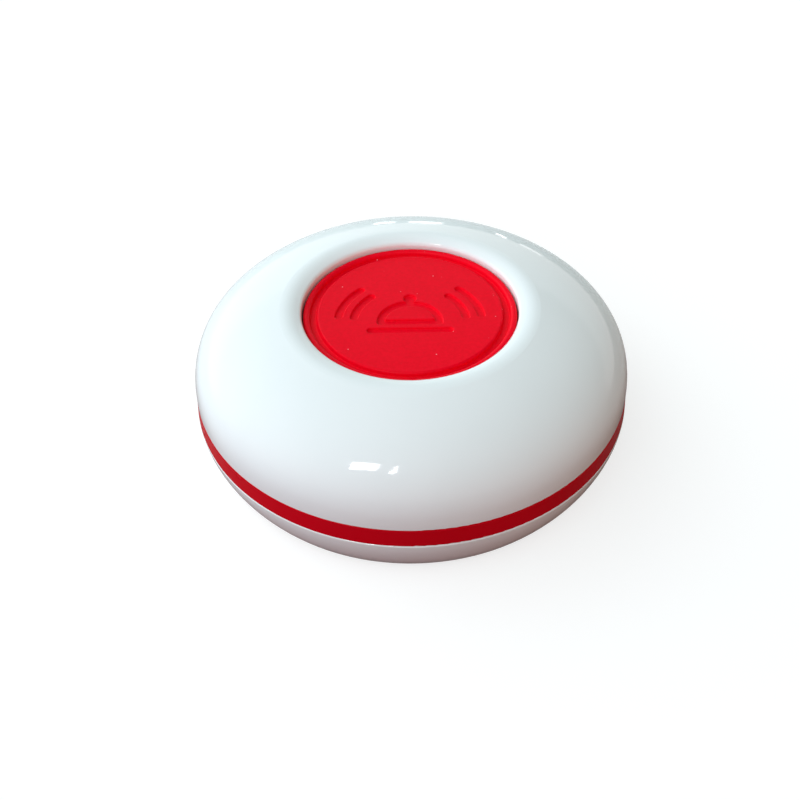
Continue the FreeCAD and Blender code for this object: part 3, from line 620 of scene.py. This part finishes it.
def noise(tree, place, feature, detail=2.0):
    """Noise whose blotches are about as large as a feature in millimetres."""
    node = tree.nodes.new("ShaderNodeTexNoise")
    node.inputs["Scale"].default_value = 1 / (feature * MM)
    node.inputs["Detail"].default_value = detail
    tree.links.new(place, node.inputs["Vector"])
    return node.outputs["Fac"]


def remap(tree, value, low, high, new_low, new_high):
    node = tree.nodes.new("ShaderNodeMapRange")
    node.inputs["From Min"].default_value = low
    node.inputs["From Max"].default_value = high
    node.inputs["To Min"].default_value = new_low
    node.inputs["To Max"].default_value = new_high
    tree.links.new(value, node.inputs["Value"])
    return node.outputs["Result"]


def blend_colours(tree, share, first, second):
    node = tree.nodes.new("ShaderNodeMix")
    node.data_type = "RGBA"
    for socket, value in (("A", first), ("B", second)):
        target = [s for s in node.inputs if s.name == socket and s.type == "RGBA"][0]
        if isinstance(value, tuple):
            target.default_value = (*value, 1)
        else:
            tree.links.new(value, target)
    tree.links.new(share, node.inputs["Factor"])
    return [s for s in node.outputs if s.type == "RGBA"][0]


def maths(tree, operation, *values):
    """A sum, product or other operation on sockets and plain numbers."""
    node = tree.nodes.new("ShaderNodeMath")
    node.operation = operation
    for socket, value in zip(node.inputs, values):
        if isinstance(value, (int, float)):
            socket.default_value = value
        else:
            tree.links.new(value, socket)
    return node.outputs[0]


def vector_maths(tree, operation, *values):
    """The same for vectors. A colour is a vector here."""
    node = tree.nodes.new("ShaderNodeVectorMath")
    node.operation = operation
    sockets = [s for s in node.inputs if s.enabled]
    for socket, value in zip(sockets, values):
        if isinstance(value, (int, float, tuple)):
            socket.default_value = value
        else:
            tree.links.new(value, socket)
    return next(s for s in node.outputs if s.enabled)


def diffuse(tree, colour):
    node = tree.nodes.new("ShaderNodeBsdfDiffuse")
    node.inputs["Color"].default_value = (*colour, 1)
    return node.outputs[0]


def mix_shaders(tree, share, first, second):
    node = tree.nodes.new("ShaderNodeMixShader")
    tree.links.new(share, node.inputs["Fac"])
    tree.links.new(first, node.inputs[1])
    tree.links.new(second, node.inputs[2])
    return node.outputs[0]


def uneven(tree, place, feature, detail, low, high):
    """Goes from low to high in blotches about as large as a feature in millimetres."""
    return remap(tree, noise(tree, place, feature, detail), noise_low, noise_high, low, high)


def specks(tree, place, spacing, radius):
    """1 inside tiny scattered dots, 0 elsewhere."""
    node = tree.nodes.new("ShaderNodeTexVoronoi")
    node.inputs["Scale"].default_value = 1 / (spacing * MM)
    tree.links.new(place, node.inputs["Vector"])
    split = tree.nodes.new("ShaderNodeSeparateColor")
    tree.links.new(node.outputs["Color"], split.inputs["Color"])
    chosen = remap(tree, split.outputs["Red"], clean_share, clean_share + clean_edge, 0, 1)
    share = radius / spacing
    dot = remap(tree, node.outputs["Distance"], share * speck_core, share, 1, 0)
    return maths(tree, "MULTIPLY", chosen, dot)


def bump(tree, shader, height, depth):
    """Raises the surface by a height field of 0 to 1, a depth in millimetres."""
    node = tree.nodes.new("ShaderNodeBump")
    node.inputs["Strength"].default_value = 1.0
    node.inputs["Distance"].default_value = depth * MM
    tree.links.new(height, node.inputs["Height"])
    tree.links.new(node.outputs["Normal"], shader.inputs["Normal"])


def moulded(
    name, colour, shade, roughness, grain, grain_depth, gloss=0.5, dust=None, dust_colour=None, drift=9,
):
    """Moulded plastic: a slight drift of colour, uneven gloss, a fine skin and a few specks of dust."""
    material, tree, shader, place = new_material(name)
    surface = blend_colours(tree, uneven(tree, place, drift, coarse_detail, 0, 1), colour, shade)
    if dust is not None:
        surface = blend_colours(tree, specks(tree, place, *dust), surface, dust_colour)
    tree.links.new(surface, shader.inputs["Base Color"])
    spread = uneven(tree, place, gloss_patch, fine_detail, *roughness)
    tree.links.new(spread, shader.inputs["Roughness"])
    shader.inputs["Specular IOR Level"].default_value = gloss
    bump(tree, shader, noise(tree, place, grain), grain_depth)
    return material


def metal(name, colour, roughness):
    """Bare metal with slightly darker patches, uneven gloss and a fine grain."""
    material, tree, shader, place = new_material(name)
    darker = tuple(c * metal_darker for c in colour)
    surface = blend_colours(tree, noise(tree, place, metal_grain, fine_detail), colour, darker)
    tree.links.new(surface, shader.inputs["Base Color"])
    shader.inputs["Metallic"].default_value = 1
    low, high = roughness * (1 - metal_gloss_spread), roughness * (1 + metal_gloss_spread)
    spread = uneven(tree, place, metal_grain / 2, fine_detail, low, high)
    tree.links.new(spread, shader.inputs["Roughness"])
    bump(tree, shader, noise(tree, place, metal_grain / 4), metal_grain_depth)
    return material


def bare_material(name):
    """A material without any shader yet."""
    material = bpy.data.materials.new(name)
    material.use_nodes = True
    material.node_tree.nodes.clear()
    return material, material.node_tree


def emission(tree, strength):
    node = tree.nodes.new("ShaderNodeEmission")
    node.inputs["Strength"].default_value = strength
    return node.outputs[0]


def put_out(tree, shader, kind="ShaderNodeOutputMaterial"):
    output = tree.nodes.new(kind)
    tree.links.new(shader, output.inputs["Surface"])


def eye_rays(tree):
    """The kinds of rays, and 1 for those that go to the eye straight or through something clear."""
    rays = tree.nodes.new("ShaderNodeLightPath").outputs
    return rays, maths(tree, "MAXIMUM", rays["Is Camera Ray"], rays["Is Transmission Ray"])


def floor():
    """A round white floor with a soft shadow. Light that only bounces off it comes back dim and warm. In
    gloss it is painted darker near the object, a painted shadow round its foot.
    """
    mesh = bpy.data.meshes.new("floor")
    shape = bmesh.new()
    bmesh.ops.create_circle(shape, cap_ends=True, segments=floor_segments, radius=floor_radius)
    shape.to_mesh(mesh)
    shape.free()
    material, tree = bare_material("floor")
    rays, watched = eye_rays(tree)
    away = vector_maths(tree, "LENGTH", tree.nodes.new("ShaderNodeTexCoord").outputs["Object"])
    # Painted shadow: near the object the floor shows dimmer in gloss.
    mirrored_share_with_painted_shadow = remap(tree, away, floor_near, floor_far, floor_mirrored_painted_shadow, floor_mirrored_far)
    mirrored = maths(tree, "MULTIPLY", rays["Is Glossy Ray"], mirrored_share_with_painted_shadow)
    seen = maths(tree, "MAXIMUM", watched, mirrored)
    glow_range = floor_glow_seen - floor_glow_mirrored
    glow_share = maths(tree, "MULTIPLY_ADD", watched, glow_range, floor_glow_mirrored)
    white = mix_shaders(tree, glow_share, diffuse(tree, floor_white), emission(tree, floor_glow))
    put_out(tree, mix_shaders(tree, seen, diffuse(tree, floor_bounce), white))
    link("floor", mesh, material)


def world_light():
    """White to the eye and in gloss and glass. It lights the object with a few broad soft lights."""
    world = bpy.data.worlds.new("studio")
    world.use_nodes = True
    tree = world.node_tree
    tree.nodes.clear()
    way = tree.nodes.new("ShaderNodeTexCoord").outputs["Generated"]
    total = (0.0, 0.0, 0.0)
    for direction, narrowness, colour in studio_lights:
        facing = vector_maths(tree, "DOT_PRODUCT", way, tuple(Vector(direction).normalized()))
        strength = maths(tree, "POWER", maths(tree, "MAXIMUM", facing, 0.0), narrowness)
        coloured = tree.nodes.new("ShaderNodeVectorMath")
        coloured.operation = "SCALE"
        coloured.inputs[0].default_value = colour
        tree.links.new(strength, coloured.inputs["Scale"])
        total = vector_maths(tree, "ADD", coloured.outputs[0], total)
    lighting = tree.nodes.new("ShaderNodeBackground")
    tree.links.new(total, lighting.inputs["Color"])
    white = tree.nodes.new("ShaderNodeBackground")
    white.inputs["Color"].default_value = (1, 1, 1, 1)
    rays, watched = eye_rays(tree)
    seen = maths(tree, "MAXIMUM", watched, rays["Is Glossy Ray"])
    put_out(tree, mix_shaders(tree, seen, lighting.outputs[0], white.outputs[0]), "ShaderNodeOutputWorld")
    bpy.context.scene.world = world


def glowing(name, brightness, corners):
    """A bright face that shows only as a highlight in gloss."""
    mesh = bpy.data.meshes.new(name)
    mesh.from_pydata(corners, [], [range(len(corners))])
    material, tree = bare_material(name)
    put_out(tree, emission(tree, brightness))
    face = link(name, mesh, material)
    face.visible_camera = False
    face.visible_diffuse = False
    face.visible_shadow = False


def highlights():
    for name, brightness, directions in windows:
        corners = [Vector(window_centre) + Vector(way) * window_distance for way in directions]
        glowing(name, brightness, corners)
    left, right = -back_wall_half, back_wall_half
    foot, head = (back_wall_distance, 0.0), (back_wall_distance, back_wall_height)
    glowing("back_wall", back_wall, [(left, *foot), (right, *foot), (right, *head), (left, *head)])
    for name, brightness, corners in strips:
        glowing(name, brightness, [(x * MM, strip_distance, z * MM) for x, z in corners])


def camera():
    """Looks from the front and above, with a small tilt to each side."""
    target = Vector((0, 0, high_corner("trim_ring").z * MM))
    away = Vector((0, -math.cos(camera_elevation), math.sin(camera_elevation)))
    data = bpy.data.cameras.new("camera")
    data.sensor_width = sensor_width
    data.lens = focal_pixels / image_size * sensor_width
    data.clip_start = near_clip
    forward = -away
    right = Vector((1, 0, 0))
    looking = Matrix((right, right.cross(forward), away))
    turns = Matrix.Rotation(camera_roll, 3, "Z") @ Matrix.Rotation(camera_yaw, 3, "Y")
    turns = turns @ Matrix.Rotation(camera_pitch, 3, "X")
    holder = bpy.data.objects.new("camera", data)
    holder.rotation_euler = (turns @ looking).transposed().to_euler()
    holder.location = target + away * camera_distance * MM
    bpy.context.scene.collection.objects.link(holder)
    bpy.context.scene.camera = holder


materials = {}
for slot, look in moulded_slots.items():
    materials[slot] = moulded(slot, *look, **outer_finish.get(slot, {}))
for slot, look in metal_slots.items():
    materials[slot] = metal(slot, *look)

slot_of = {part["node"]: part["material_slot"] for part in frame["record"]["subparts"]}
for name, node in nodes.items():
    for holder in node.material_slots:
        holder.material = materials[slot_of[name]]

call_button = link("call_button", button_cap_mesh(), materials["button_red"])
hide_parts("button_cap")
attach(call_button, "button")

seal = link("seal", seal_mesh(), materials["silicone"])
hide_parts("diaphragm")
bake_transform(seal)

press_pad = link("press_pad", press_pad_mesh(), materials["silicone"])
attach(press_pad, "housing")
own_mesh(press_pad)

foam_pad = link("foam_pad", foam_pad_mesh(), materials["pad_foam"])
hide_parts("adhesive_pad")
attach(foam_pad, "housing")

floor()
world_light()
highlights()
camera()
bpy.context.scene.view_settings.view_transform = "Standard"
